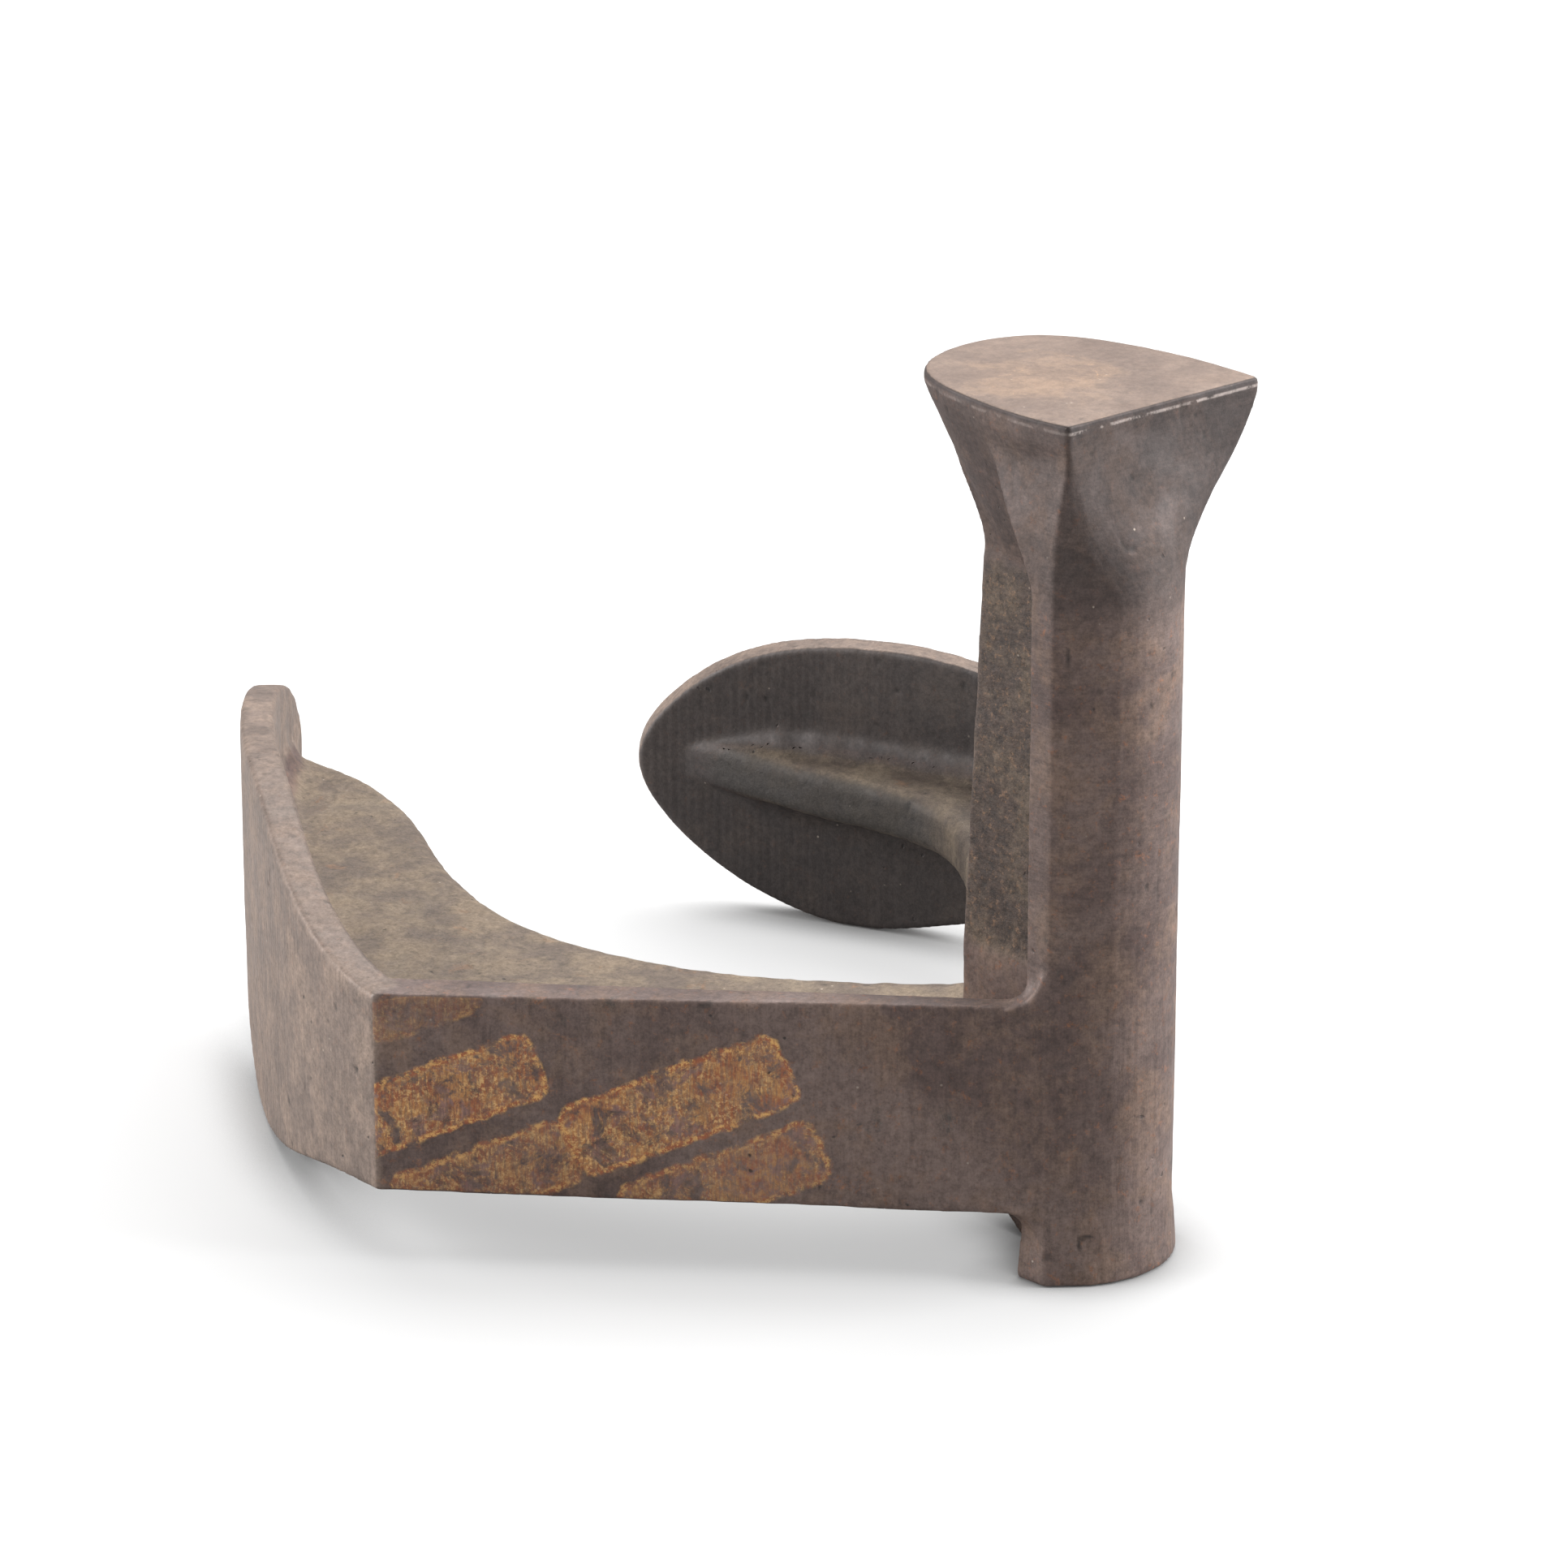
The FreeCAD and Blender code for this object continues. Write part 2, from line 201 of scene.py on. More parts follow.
def surface(field, owner, start):
    """Surface nets on the level 0.5 of the field, closed between limbs by hidden cut faces.

    Returns the points, which of them are on the skin, the quads, the limb of each quad, and which quads
    are cuts.
    """
    kind = np.where(field > 0.5, owner + 1, 0).astype(np.int8)
    lowest = kind[1:, 1:, 1:].copy()
    highest = lowest.copy()
    for dx, dy, dz in CORNERS:
        corner = kind[dx:dx + lowest.shape[0], dy:dy + lowest.shape[1], dz:dz + lowest.shape[2]]
        np.minimum(lowest, corner, out=lowest)
        np.maximum(highest, corner, out=highest)
    where = np.argwhere(lowest != highest)
    number = np.full(lowest.shape, -1, dtype=np.int32)
    number[tuple(where.T)] = np.arange(len(where))
    total = np.zeros((len(where), 3))
    hits = np.zeros(len(where))
    for one, two in EDGE_ENDS:
        f1 = field[tuple((where + one).T)]
        f2 = field[tuple((where + two).T)]
        cut = (f1 > 0.5) != (f2 > 0.5)
        share = ((0.5 - f1[cut]) / (f2[cut] - f1[cut]))[:, None]
        total[cut] += np.array(one) + share * (np.array(two) - np.array(one))
        hits[cut] += 1
    on_skin = hits > 0
    total[~on_skin] = 0.5
    points = (where + total / np.maximum(hits, 1)[:, None] + 0.5) * VOXEL + np.array(start)
    quads, limbs, cuts = [], [], []
    for axis in range(3):
        near = kind[tuple(slice(None, -1) if i == axis else slice(None) for i in range(3))]
        far = kind[tuple(slice(1, None) if i == axis else slice(None) for i in range(3))]
        change = np.argwhere(near != far)
        u, v = [(1, 2), (2, 0), (0, 1)][axis]
        ring = []
        for du, dv in ((1, 1), (0, 1), (0, 0), (1, 0)):
            cell = change.copy()
            cell[:, u] -= du
            cell[:, v] -= dv
            ring.append(number[tuple(cell.T)])
        ring = np.stack(ring, axis=1)
        near, far = near[tuple(change.T)], far[tuple(change.T)]
        for own, other, turned in ((near, far, ring), (far, near, ring[:, ::-1])):
            quads.append(turned[own > 0])
            limbs.append(own[own > 0] - 1)
            cuts.append(other[own > 0] > 0)
    return points, on_skin, np.concatenate(quads), np.concatenate(limbs), np.concatenate(cuts)


def sample(field, points, start):
    """The field's value at points, by trilinear interpolation."""
    at = (points - np.array(start)) / VOXEL - 0.5
    base = np.clip(np.floor(at).astype(int), 0, np.array(field.shape) - 2)
    part = at - base
    value = np.zeros(len(points))
    for dx, dy, dz in CORNERS:
        weight = np.abs(1 - dx - part[:, 0]) * np.abs(1 - dy - part[:, 1]) * np.abs(1 - dz - part[:, 2])
        value += weight * field[base[:, 0] + dx, base[:, 1] + dy, base[:, 2] + dz]
    return value


def slope(field, points, start):
    """Outward unit normals at points, from the field's gradient."""
    normal = np.empty_like(points)
    for axis in range(3):
        step = np.zeros(3)
        step[axis] = VOXEL * SLOPE_STEP
        normal[:, axis] = sample(field, points - step, start) - sample(field, points + step, start)
    return normal / np.maximum(np.linalg.norm(normal, axis=1, keepdims=True), TINY)


def noise(points, size, seed):
    """Smooth random values from 0 to 1 that change over the given size in metres."""
    table = np.random.default_rng(seed).random((32, 32, 32))
    at = points / size + 100.0
    base = np.floor(at).astype(int)
    part = at - base
    part = part * part * (3 - 2 * part)
    value = np.zeros(len(points))
    for dx, dy, dz in CORNERS:
        weight = np.abs(1 - dx - part[:, 0]) * np.abs(1 - dy - part[:, 1]) * np.abs(1 - dz - part[:, 2])
        index = (base + [dx, dy, dz]) % 32
        value += weight * table[index[:, 0], index[:, 1], index[:, 2]]
    return value


def ramp(value, low, high):
    share = np.clip((value - low) / (high - low), 0, 1)
    return share * share * (3 - 2 * share)


def limb_grid(start, shape):
    """Which CAD node each voxel belongs to, as its place in ALL. Fillets go to the nearest node."""
    half = tuple(-(-n // 2) for n in shape)
    best = np.zeros(half, dtype=np.float32)
    owner = np.zeros(half, dtype=np.int8)
    for number, name in enumerate(ALL):
        near = blur(coverage([name], start, half, 2 * VOXEL), LIMB_BLUR)
        owner[near > best] = number
        best = np.maximum(best, near)
    for axis in range(3):
        owner = owner.repeat(2, axis)
    return owner[:shape[0], :shape[1], :shape[2]]


def corner_normals(points, quads):
    """Normal of each point: the mean of the faces around it, weighted by area."""
    diagonals = points[quads[:, 2]] - points[quads[:, 0]], points[quads[:, 3]] - points[quads[:, 1]]
    flat = np.cross(*diagonals)
    normal = np.empty_like(points)
    for axis in range(3):
        weights = np.repeat(flat[:, axis], 4)
        normal[:, axis] = np.bincount(quads.ravel(), weights=weights, minlength=len(points))
    return normal / np.maximum(np.linalg.norm(normal, axis=1, keepdims=True), 1e-12)


def cast_skin():
    """Skin of the whole casting.

    Returns the points, their normals, the quads, the limb of each quad, and masks for the material.
    """
    low, high = np.array(CAD_BOX[0]), np.array(CAD_BOX[1])
    start = low - MARGIN * VOXEL
    shape = tuple(int(n) for n in np.ceil((high - low) / VOXEL) + 2 * MARGIN)
    webs = blur(coverage(WEBS, start, shape), WEB_SPREAD / VOXEL)
    soles = blur(coverage(SOLES, start, shape), SOLE_SPREAD / VOXEL)
    solid = filleted(coverage(ALL, start, shape, lines=4))
    wide = blur(solid, BEND_SPREAD / VOXEL)
    field = blur(solid, SOFTEN / VOXEL)
    points, on_skin, quads, limbs, cuts = surface(field, limb_grid(start, shape), start)
    normals = slope(field, points, start)
    bend = sample(wide, points, start)
    web = ramp(sample(webs, points, start), 0.15, 0.40)
    sole = ramp(sample(soles, points, start) / np.maximum(bend, 0.05), 0.3, 0.7)
    edge = ramp(0.5 - bend, 0.09, 0.20)
    hollow = ramp(bend - 0.5, 0.02, 0.14)
    sink = WAVE * noise(points, 0.009, 1) + GRAIN * noise(points, 0.0022, 2) * (1 + 2.0 * web)
    sink += GRAIN * noise(points, 0.0009, 3) * (0.5 + 1.6 * web)
    chips = ramp(noise(points, 0.0019, 4), 0.70, 0.92) * ramp(noise(points, 0.0130, 5), 0.45, 0.75)
    pit = ramp(noise(points, 0.0011, 6), 0.84, 0.95) * ramp(noise(points, 0.0070, 7), 0.42, 0.80)
    sink += CHIP_DEPTH * edge * chips + PIT_DEPTH * pit
    points = np.clip(points - normals * (sink * on_skin)[:, None], low, high)
    smooth = corner_normals(points, quads[~cuts]) + normals
    smooth /= np.maximum(np.linalg.norm(smooth, axis=1, keepdims=True), TINY)
    return points, smooth, quads, limbs, dict(edge=edge, hollow=hollow, web=web, sole=sole, pit=pit)


def limb_mesh(name, points, quads, normals, masks):
    """One limb of the skin as an object. Its border normals are those of the whole casting."""
    used, corner = np.unique(quads, return_inverse=True)
    mesh = bpy.data.meshes.new(name)
    mesh.vertices.add(len(used))
    mesh.vertices.foreach_set("co", points[used].astype(np.float32).ravel())
    mesh.loops.add(quads.size)
    mesh.loops.foreach_set("vertex_index", corner.ravel().astype(np.int32))
    mesh.polygons.add(len(quads))
    mesh.polygons.foreach_set("loop_start", np.arange(0, quads.size, 4, dtype=np.int32))
    mesh.update(calc_edges=True)
    mesh.polygons.foreach_set("use_smooth", np.ones(len(quads), dtype=bool))
    for mask, values in masks.items():
        layer = mesh.attributes.new(mask, "FLOAT", "POINT")
        layer.data.foreach_set("value", values[used].astype(np.float32))
    mesh.normals_split_custom_set_from_vertices(normals[used])
    limb = bpy.data.objects.new(name, mesh)
    bpy.context.scene.collection.objects.link(limb)
    return limb


# ---------------------------------------------------------------- material helpers
class Nodes:
    """Short names for the shader nodes of one material."""

    def __init__(self, name):
        self.material = bpy.data.materials.new(name)
        self.material.use_nodes = True
        self.tree = self.material.node_tree
        self.tree.nodes.clear()

    def add(self, kind, **settings):
        node = self.tree.nodes.new(kind)
        for key, value in settings.items():
            setattr(node, key, value)
        return node

    def put(self, socket, value):
        if hasattr(value, "is_output"):
            self.tree.links.new(value, socket)
        elif value is not None:
            socket.default_value = value

    def math(self, operation, a, b=None):
        node = self.add("ShaderNodeMath", operation=operation)
        for socket, value in zip(node.inputs, (a, b)):
            self.put(socket, value)
        return node.outputs[0]

    def times(self, a, b):
        return self.math("MULTIPLY", a, b)

    def plus(self, a, b):
        return self.math("ADD", a, b)

    def minus(self, a, b):
        return self.math("SUBTRACT", a, b)

    def larger(self, a, b):
        return self.math("MAXIMUM", a, b)

    def size(self, value):
        return self.math("ABSOLUTE", value)

    def split(self, value):
        """The x, y and z of a vector."""
        node = self.add("ShaderNodeSeparateXYZ")
        self.put(node.inputs[0], value)
        return node.outputs

    def mask(self, value, low, high, bottom=0.0, top=1.0):
        node = self.add("ShaderNodeMapRange", interpolation_type="SMOOTHSTEP")
        for socket, item in zip(node.inputs, (value, low, high, bottom, top)):
            self.put(socket, item)
        return node.outputs[0]

    def noise(self, place, scale, detail=4.0, rough=0.55, distort=0.0):
        node = self.add("ShaderNodeTexNoise")
        self.put(node.inputs["Vector"], place)
        self.put(node.inputs["Scale"], scale)
        self.put(node.inputs["Detail"], detail)
        self.put(node.inputs["Roughness"], rough)
        self.put(node.inputs["Distortion"], distort)
        return node.outputs[0]

    def noise_colour(self, place, scale):
        """Three separate noises as a vector."""
        node = self.add("ShaderNodeTexNoise")
        self.put(node.inputs["Vector"], place)
        self.put(node.inputs["Scale"], scale)
        return node.outputs["Color"]

    def spots(self, place, scale, size, soft=0.08):
        """Scattered round specks of the given relative size."""
        node = self.add("ShaderNodeTexVoronoi")
        self.put(node.inputs["Vector"], place)
        self.put(node.inputs["Scale"], scale)
        return self.mask(node.outputs["Distance"], size, max(size - soft, 0.001))

    def stretch(self, place, x, y, z):
        node = self.add("ShaderNodeVectorMath", operation="MULTIPLY")
        self.put(node.inputs[0], place)
        self.put(node.inputs[1], (x, y, z))
        return node.outputs[0]

    def tone(self, value, factor):
        """A colour made darker or lighter by a factor."""
        node = self.add("ShaderNodeVectorMath", operation="SCALE")
        self.put(node.inputs[0], value)
        self.put(node.inputs["Scale"], factor)
        return node.outputs[0]

    def mix(self, share, a, b):
        node = self.add("ShaderNodeMix", data_type="RGBA")
        self.put(node.inputs[0], share)
        self.put(node.inputs[6], a)
        self.put(node.inputs[7], b)
        return node.outputs[2]

    def attribute(self, name):
        node = self.add("ShaderNodeAttribute", attribute_name=name)
        return node.outputs["Fac"]

    def bump(self, height, strength, distance):
        node = self.add("ShaderNodeBump")
        self.put(node.inputs["Height"], height)
        self.put(node.inputs["Strength"], strength)
        self.put(node.inputs["Distance"], distance)
        return node.outputs[0]


def colour(red, green, blue):
    """sRGB 0 to 255 to a linear colour."""
    linear = [((c / 255 + 0.055) / 1.055) ** 2.4 if c > 10 else c / 255 / 12.92 for c in (red, green, blue)]
    return (*linear, 1.0)


# soft steps of height (metres) between the zones of the finish
BAR_TOP = (0.031, 0.036)          # top edge of the arms' bars; the post rises above it
WEB_TOP = (0.026, 0.034)          # top of the arms' webs; the post's web rises above it
FLARE_FOOT = (0.070, 0.078)
HEEL_SIDE = (0.0900, 0.0932)
HEEL_RIM = (0.088, 0.092)
LIP = (0.0930, 0.0934)            # dark line under the heel face
GLINT_LOW = (0.0926, 0.0928)      # painted highlight: thin bright line under the dark one
GLINT_HIGH = (0.0931, 0.0929)
HEEL_MIDDLE = (0.0330, -0.0410, 0.0938)       # worn brighter patch on the heel face
GRAIN_HEIGHT = 0.00012            # depth of the finest grain, made by bump

# worn gilt bars on the front of the long arm: centre x, centre z, half length, half width (metres), strength
GILT_TILT = math.radians(23)
GILT_CORNER = 0.0016
GILT_WOBBLE = 0.0014
GILT_BARS = [
    (-0.0305, 0.0188, 0.0122, 0.0036, 1.0),
    (-0.0045, 0.0190, 0.0122, 0.0040, 1.0),
    (-0.0247, 0.0100, 0.0098, 0.0036, 0.75),
    (0.0003, 0.0104, 0.0110, 0.0034, 0.75),
    (-0.0310, 0.0293, 0.0060, 0.0022, 0.40),
]


def zones(g):
    """Places, directions and masks that the steps of the finish share."""
    at = SimpleNamespace(place=g.add("ShaderNodeTexCoord").outputs["Object"])
    for name in ("edge", "hollow", "web", "sole", "pit"):
        setattr(at, name, g.attribute(name))
    at.nx, at.ny, at.nz = g.split(g.add("ShaderNodeNewGeometry").outputs["Normal"])
    at.x, at.y, at.z = g.split(at.place)
    at.broad = g.noise(at.place, 45, 5, 0.6, 0.4)
    at.middle = g.noise(at.place, 190, 5, 0.65, 0.3)
    at.fine = g.noise(at.place, 1100, 4, 0.75)
    at.post = g.mask(at.z, *BAR_TOP)
    at.recess = g.times(at.web, g.mask(at.z, *WEB_TOP))
    at.flare = g.times(g.mask(at.z, *FLARE_FOOT), g.mask(at.nz, 0.6, 0.3))
    at.inner = g.times(g.mask(at.y, 0.015, 0.030), g.mask(at.ny, -0.30, -0.75))
    at.heel = g.times(g.mask(at.z, *HEEL_SIDE), g.mask(at.nz, 0.5, 0.9))
    upright = g.noise(g.stretch(at.place, 2400, 2400, 230), 1.0, 3, 0.65)
    level = g.noise(g.stretch(at.place, 420, 420, 2600), 1.0, 3, 0.65)
    at.brushed = g.plus(g.times(level, at.post), g.times(upright, g.minus(1.0, at.post)))
    return at


def skin_tone(g, at):
    """Mottled dark brown of the dressed faces."""
    skin = g.mix(g.mask(at.broad, 0.35, 0.66), colour(79, 64, 60), colour(107, 91, 85))
    skin = g.mix(g.mask(at.middle, 0.44, 0.66, 0.0, 0.7), skin, colour(113, 93, 81))
    copper = g.mask(g.noise(at.place, 900, 5, 0.8, 0.4), 0.56, 0.70, 0.0, 0.55)
    skin = g.mix(copper, skin, colour(140, 90, 60))
    soot = g.mask(g.noise(at.place, 95, 6, 0.8, 0.8), 0.60, 0.72, 0.0, 0.65)
    return g.mix(soot, skin, colour(58, 60, 58))


def web_tone(g, at):
    """Olive of the webs as cast, darker and grainy in the recess behind the post."""
    olive = g.mix(g.mask(at.middle, 0.36, 0.66), colour(92, 80, 70), colour(120, 106, 90))
    olive = g.mix(g.mask(at.broad, 0.52, 0.72, 0.0, 0.6), olive, colour(134, 120, 100))
    rust = g.mask(g.noise(at.place, 260, 5, 0.7, 0.5), 0.60, 0.72, 0.0, 0.5)
    olive = g.mix(rust, olive, colour(134, 96, 66))
    darkening = g.times(at.recess, g.mask(at.middle, 0.38, 0.58, 0.95, 0.60))
    olive = g.mix(darkening, olive, colour(66, 54, 48))
    soot = g.times(at.recess, g.mask(g.noise(at.place, 620, 6, 0.8), 0.50, 0.62, 0.0, 0.75))
    olive = g.mix(soot, olive, colour(50, 44, 42))
    grains = g.mask(g.noise(at.place, 1300, 5, 0.85), 0.54, 0.64)
    return g.mix(g.times(at.recess, g.times(grains, 0.6)), olive, colour(140, 108, 82))


def limb_tones_and_shade(g, at, base):
    """Darker short arm; stained flare with painted shade on its right-facing facet; painted shade on the
    post's left-facing edge; and the tones of the sole plates.
    """
    short_arm = g.times(g.mask(at.y, -0.005, 0.020), g.mask(at.x, -0.030, -0.020))
    base = g.tone(base, g.minus(1.0, g.times(g.times(short_arm, at.web), 0.34)))
    stain_and_shade = g.times(g.mask(g.noise(at.place, 130, 6, 0.8, 0.6), 0.44, 0.60), 0.25)
    # painted shade: the flare's right-facing faces are darkened further, on top of the noise stains
    stain_and_shade = g.plus(stain_and_shade, g.mask(at.nx, -0.2, 0.5, 0.45, 0.74))
    base = g.mix(g.times(at.flare, stain_and_shade), base, colour(58, 50, 48))
    # painted shade: the post's left-facing faces below the flare are darkened
    post_edge_shade = g.times(at.post, g.mask(at.nx, -0.35, -0.75))
    post_edge_shade = g.times(post_edge_shade, g.mask(at.z, 0.076, 0.070))
    base = g.tone(base, g.minus(1.0, g.times(post_edge_shade, 0.22)))
    sole_tone = g.mix(g.mask(at.middle, 0.35, 0.7), colour(106, 93, 84), colour(126, 111, 100))
    base = g.mix(g.times(at.sole, g.minus(0.7, g.times(at.inner, 0.6))), base, sole_tone)
    base = g.tone(base, g.minus(1.0, g.times(at.inner, 0.58)))
    return g.mix(g.times(at.inner, 0.45), base, colour(64, 62, 62))


def heel_face(g, at, base):
    """Tan, worn heel face with a scratched brighter patch."""
    gap = g.add("ShaderNodeVectorMath", operation="DISTANCE")
    g.put(gap.inputs[0], at.place)
    gap.inputs[1].default_value = HEEL_MIDDLE
    centre = g.minus(g.mask(gap.outputs["Value"], 0.017, 0.002), g.mask(at.middle, 0.35, 0.62, 0.0, 0.6))
    cloud = g.mask(g.noise(at.place, 60, 5, 0.65, 0.5), 0.34, 0.66)
    tan = g.mix(cloud, colour(106, 90, 81), colour(128, 110, 98))
    tan = g.mix(g.mask(centre, 0.05, 0.95, 0.0, 0.7), tan, colour(140, 116, 96))
    scratch = g.mask(g.noise(at.place, 420, 6, 0.85, 1.2), 0.60, 0.68)
    tan = g.mix(g.times(scratch, g.mask(centre, 0.0, 0.8, 0.1, 0.8)), tan, colour(176, 140, 106))
    return g.mix(at.heel, base, tan)


def worn_edges_and_glint(g, at, base):
    """Rubbed edges, dark rims, the line under the heel face with a painted highlight under it, nicks, darker
    inner corners and pits.
    """
    at.worn = g.times(at.edge, g.mask(g.noise(at.place, 260, 4, 0.65), 0.34, 0.64, 0.15, 1.0))
    base = g.mix(g.times(at.worn, 0.40), base, colour(150, 138, 132))
    rims = g.times(at.edge, g.larger(at.sole, g.mask(at.z, *HEEL_RIM)))
    rims = g.times(rims, g.mask(g.noise(at.place, 170, 4, 0.7), 0.66, 0.40, 0.1, 1.0))
    base = g.mix(rims, base, colour(54, 46, 44))
    side = g.mask(at.nz, 0.93, 0.78)
    lip = g.times(g.mask(at.z, *LIP), side)
    base = g.mix(g.times(lip, 0.85), base, colour(48, 40, 39))
    # painted highlight: a thin bright line under the dark line, stronger on right-facing sides
    painted_glint = g.times(g.mask(at.z, *GLINT_LOW), g.mask(at.z, *GLINT_HIGH))
    painted_glint = g.times(painted_glint, g.mask(g.noise(at.place, 300, 4, 0.8), 0.44, 0.56))
    painted_glint = g.times(painted_glint, g.mask(at.nx, -0.05, 0.35, 0.15, 0.55))
    base = g.mix(g.times(painted_glint, side), base, colour(176, 164, 158))
    nicks = g.times(at.edge, g.mask(g.noise(at.place, 900, 4, 0.8), 0.60, 0.66))
    base = g.mix(g.times(nicks, 0.7), base, colour(178, 166, 158))
    # darker in the inner corners, where the surface bends inward
    darkening = g.times(at.hollow, g.mask(at.middle, 0.30, 0.62, 0.25, 0.8))
    base = g.mix(darkening, base, colour(62, 57, 51))
    return g.mix(g.times(at.pit, 0.8), base, colour(40, 36, 34))


def mottled(g, at, base):
    """Fine light and dark grain, with brush marks, stronger in the recess and calmer on the heel face."""
    grit = g.mask(g.noise(at.place, 3400, 2, 0.7), 0.30, 0.70, -0.12, 0.12)
    mottle = g.plus(g.mask(at.fine, 0.30, 0.70, -0.22, 0.22), grit)
    strokes = g.times(g.mask(at.brushed, 0.30, 0.70, -0.09, 0.09), g.minus(1.0, at.inner))
    mottle = g.plus(mottle, strokes)
    strength = g.minus(g.plus(1.0, g.times(at.recess, 0.5)), g.times(at.heel, 0.4))
    return g.tone(base, g.plus(1.0, g.times(mottle, strength)))


def gilt_masks(g, at, front):
    """Inside and outline masks of the worn gilt bars."""
    wobble = g.times(g.minus(g.noise(at.place, 500, 3), 0.5), GILT_WOBBLE)
    fill, rim = 0.0, 0.0
    for x, z, half_long, half_wide, strength in GILT_BARS:
        dx = g.minus(at.x, x)
        dz = g.minus(at.z, z)
        along = g.plus(g.times(dx, math.cos(GILT_TILT)), g.times(dz, math.sin(GILT_TILT)))
        across = g.minus(g.times(dz, math.cos(GILT_TILT)), g.times(dx, math.sin(GILT_TILT)))
        qx = g.larger(g.minus(g.size(along), half_long - GILT_CORNER), 0.0)
        qz = g.larger(g.minus(g.size(across), half_wide - GILT_CORNER), 0.0)
        reach = g.math("SQRT", g.plus(g.times(qx, qx), g.times(qz, qz)))
        gap = g.plus(g.minus(reach, GILT_CORNER), wobble)
        inside = g.times(g.mask(gap, 0.0003, -0.0004), strength)
        ring = g.times(g.mask(g.size(gap), 0.00055, 0.0001), strength)
        fill = g.larger(fill, inside)
        rim = g.larger(rim, ring)
    return g.times(fill, front), g.times(rim, front)


def gilding(g, at, base):
    """Rubbed remains of gilt bars on the front of the long arm, brighter along their outlines."""
    front = g.times(g.mask(at.ny, -0.80, -0.94), g.mask(at.x, -0.0374, -0.0368))
    front = g.times(front, g.mask(at.y, -0.040, -0.045))
    fill, rim = gilt_masks(g, at, front)
    broken = g.mask(g.noise(at.place, 300, 6, 0.8, 0.6), 0.38, 0.52)
    strokes = g.mask(g.noise(g.stretch(at.place, 4200, 4200, 620), 1.0, 3, 0.65), 0.40, 0.58)
    crumbs = g.mask(g.noise(at.place, 2300, 4, 0.8), 0.46, 0.60)
    blotch = g.mask(g.noise(at.place, 500, 4, 0.7), 0.42, 0.58)
    gold = g.mix(blotch, colour(146, 84, 54), colour(172, 120, 72))
    gold = g.mix(g.times(crumbs, g.mask(at.middle, 0.34, 0.56, 0.20, 0.75)), gold, colour(224, 184, 122))
    faded = g.mask(g.noise(at.place, 260, 5, 0.75, 0.5), 0.52, 0.62, 0.0, 0.8)
    gold = g.mix(faded, gold, colour(128, 100, 98))
    cover = g.plus(g.times(strokes, 0.45), 0.45)
    amount = g.times(fill, g.times(broken, cover))
    base = g.mix(amount, base, gold)
    rim_amount = g.times(rim, g.mask(g.noise(at.place, 520, 6, 0.8, 0.5), 0.40, 0.56))
    shine = g.mask(g.noise(at.place, 1500, 3, 0.8), 0.44, 0.58)
    rim_gold = g.mix(shine, colour(150, 84, 52), colour(214, 166, 100))
    at.gilt = g.larger(amount, rim_amount)
    return g.mix(g.times(rim_amount, 0.85), base, rim_gold)


def specks(g, at, base):
    """Scattered pale specks, and dark ones with shaken outlines."""
    pale = g.times(g.spots(at.place, 760, 0.14), g.mask(g.noise(at.place, 210, 3), 0.58, 0.70))
    base = g.mix(g.times(pale, 0.55), base, colour(190, 176, 162))
    shaken = g.add("ShaderNodeVectorMath", operation="MULTIPLY_ADD")
    g.put(shaken.inputs[0], g.noise_colour(at.place, 900))
    g.put(shaken.inputs[1], (0.0010, 0.0010, 0.0010))
    g.put(shaken.inputs[2], at.place)
    at.dark = g.times(g.spots(shaken.outputs[0], 420, 0.12), g.mask(g.noise(at.place, 60, 2), 0.50, 0.62))
    return g.mix(g.times(at.dark, 0.8), base, colour(30, 28, 28))


def roughness(g, at):
    rough = g.plus(g.mask(at.middle, 0.3, 0.7, 0.50, 0.66), g.times(at.web, 0.10))
    rough = g.minus(rough, g.times(at.worn, 0.12))
    rough = g.minus(rough, g.times(at.gilt, 0.12))
    return g.plus(rough, g.times(at.flare, 0.12))


def grain(g, at):
    """Height of the finest grain, too small for the mesh."""
    strokes = g.times(at.brushed, g.minus(1.0, at.inner))
    height = g.plus(g.times(at.fine, g.plus(g.times(at.web, 1.2), 0.55)),
                    g.times(strokes, g.minus(0.4, g.times(at.web, 0.3))))
    height = g.plus(height, g.times(at.middle, 0.8))
    height = g.minus(height, g.times(at.dark, 1.2))
    return g.plus(height, g.times(at.gilt, 0.35))


def patina():
    """Dark brown patina on cast brass: mottled skin, olive sand-cast webs, worn edges and gilt wear marks."""
    g = Nodes("patinated_brass")
    at = zones(g)
    base = g.mix(g.times(at.web, 0.9), skin_tone(g, at), web_tone(g, at))
    for step in (limb_tones_and_shade, heel_face, worn_edges_and_glint, mottled, gilding, specks):
        base = step(g, at, base)
    shader = g.add("ShaderNodeBsdfPrincipled")
    g.put(shader.inputs["Base Color"], base)
    g.put(shader.inputs["Roughness"], roughness(g, at))
    shader.inputs["Metallic"].default_value = 0.35
    shader.inputs["Specular IOR Level"].default_value = 0.5
    g.put(shader.inputs["Normal"], g.bump(grain(g, at), 0.55, GRAIN_HEIGHT))
    out = g.add("ShaderNodeOutputMaterial")
    g.put(out.inputs["Surface"], shader.outputs[0])
    return g.material


# ---------------------------------------------------------------- the object
def casting():
    """The skin, cut into one closed solid for each named limb. All of them ride on the one rigid body."""
    points, normals, quads, limbs, masks = cast_skin()
    brass = patina()
    for number, node in enumerate(ALL):
        limb = limb_mesh("cast_" + node, points, quads[limbs == number], normals, masks)
        limb.data.materials.append(brass)
        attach(limb, "root")
        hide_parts(node)


casting()


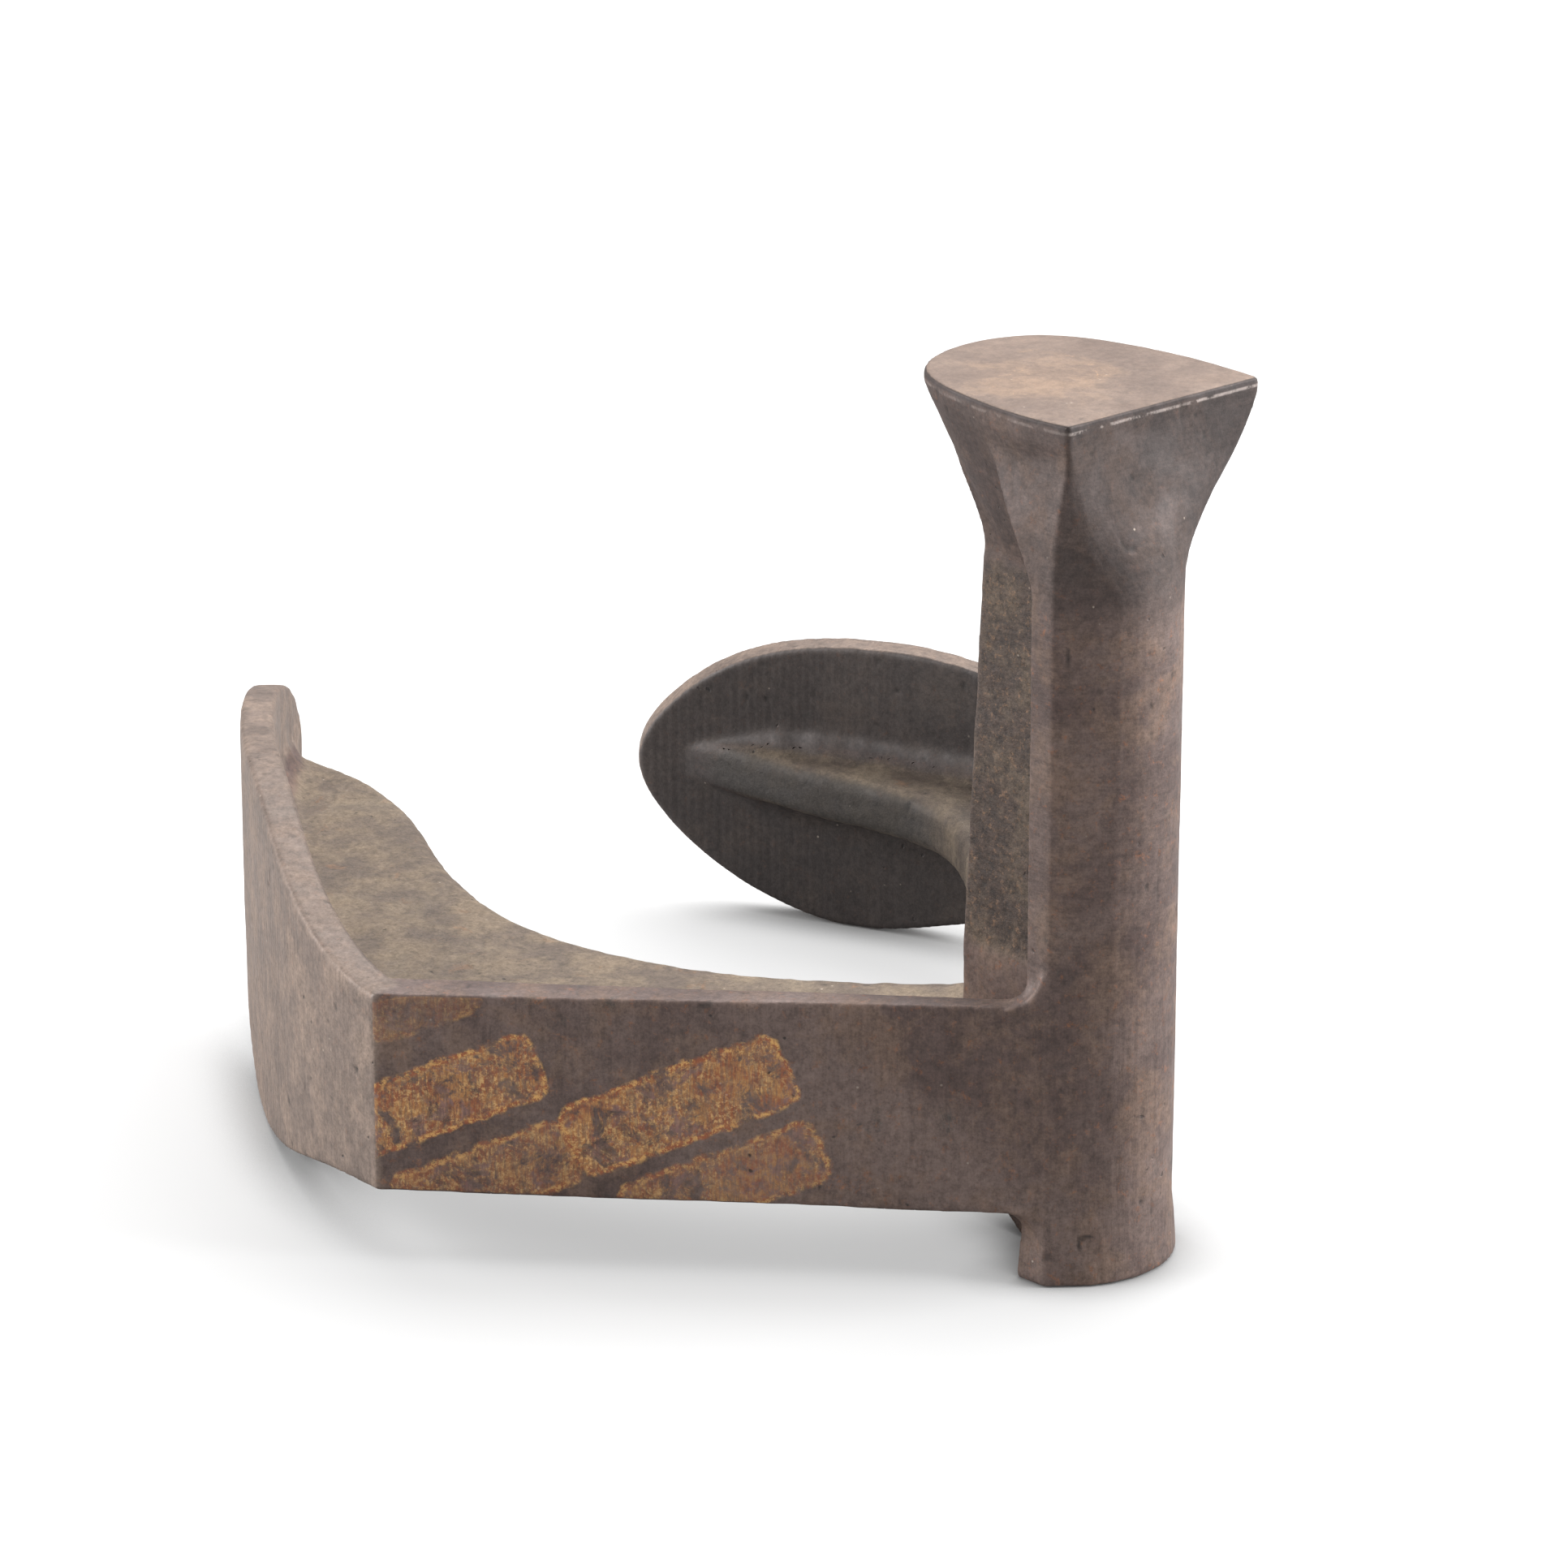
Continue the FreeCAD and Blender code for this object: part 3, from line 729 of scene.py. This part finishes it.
# ---------------------------------------------------------------- floor, light, camera
CONTACT_REACH = 0.009      # how far the painted contact shadow reaches (metres)
PITCH = math.radians(20)   # the camera looks down by this much
SIGHT = Vector((0.00652, -0.0250, 0.0439))    # a point on the line of sight, over the middle of the part
AWAY = 0.6957              # from that point to the camera (metres)
LENS = 149.07              # millimetres, on a sensor 36 mm wide


def paper_floor():
    """White paper that glows a little, more towards the back: painted light. The glow drops close to the
    casting, a painted contact shadow.
    """
    mesh = bpy.data.meshes.new("floor")
    half = 6.0
    corners = [(-half, -half, 0), (half, -half, 0), (half, half, 0), (-half, half, 0)]
    mesh.from_pydata(corners, [], [(0, 1, 2, 3)])
    floor = bpy.data.objects.new("floor", mesh)
    bpy.context.scene.collection.objects.link(floor)
    g = Nodes("white_sweep")
    seen = g.add("ShaderNodeLightPath").outputs["Is Camera Ray"]
    away = g.split(g.add("ShaderNodeTexCoord").outputs["Object"])[1]
    # painted light: the floor's glow grows towards the back
    glow = g.mask(away, -0.10, 0.06, 0.43, 0.55)
    # painted contact shadow: ambient occlusion dims the glow near the casting
    contact_shadow_ao = g.add("ShaderNodeAmbientOcclusion", samples=12)
    contact_shadow_ao.inputs["Distance"].default_value = CONTACT_REACH
    glow = g.times(glow, g.mask(contact_shadow_ao.outputs["AO"], 0.40, 0.98, 0.08, 1.0))
    shader = g.add("ShaderNodeBsdfPrincipled")
    g.put(shader.inputs["Base Color"], g.mix(seen, (0.34, 0.34, 0.34, 1), (0.29, 0.29, 0.29, 1)))
    shader.inputs["Roughness"].default_value = 0.8
    shader.inputs["Emission Color"].default_value = (1, 1, 1, 1)
    g.put(shader.inputs["Emission Strength"], g.times(seen, glow))
    g.put(g.add("ShaderNodeOutputMaterial").inputs["Surface"], shader.outputs[0])
    mesh.materials.append(g.material)


def softbox(name, place, target, size, power):
    """Square area light, power in watts, aimed at the target."""
    data = bpy.data.lights.new(name, "AREA")
    data.shape = "RECTANGLE"
    data.size, data.size_y = size
    data.energy = power
    lamp = bpy.data.objects.new(name, data)
    lamp.location = place
    lamp.rotation_euler = (Vector(target) - Vector(place)).to_track_quat("-Z", "Y").to_euler()
    bpy.context.scene.collection.objects.link(lamp)


def studio():
    middle = (0, 0, 0.04)
    softbox("top", (0.10, 0.48, 0.88), middle, (1.0, 0.8), 12.5)
    softbox("left", (-0.85, -0.05, 0.35), middle, (0.7, 0.7), 14.0)
    softbox("right", (0.85, -0.02, 0.40), middle, (0.6, 0.7), 16.5)
    world = bpy.data.worlds.new("studio")
    world.use_nodes = True
    world.node_tree.nodes["Background"].inputs[0].default_value = (1, 1, 1, 1)
    world.node_tree.nodes["Background"].inputs[1].default_value = 0.42
    bpy.context.scene.world = world
    bpy.context.scene.view_settings.view_transform = "Standard"


def camera():
    """Long lens, 20 degrees down, level."""
    data = bpy.data.cameras.new("camera")
    data.sensor_width = 36
    data.lens = LENS
    data.clip_start = 0.01
    lens = bpy.data.objects.new("camera", data)
    lens.location = SIGHT + AWAY * Vector((0, -math.cos(PITCH), math.sin(PITCH)))
    lens.rotation_euler = Euler((math.radians(90) - PITCH, 0, 0))
    bpy.context.scene.collection.objects.link(lens)
    bpy.context.scene.camera = lens


paper_floor()
studio()
camera()
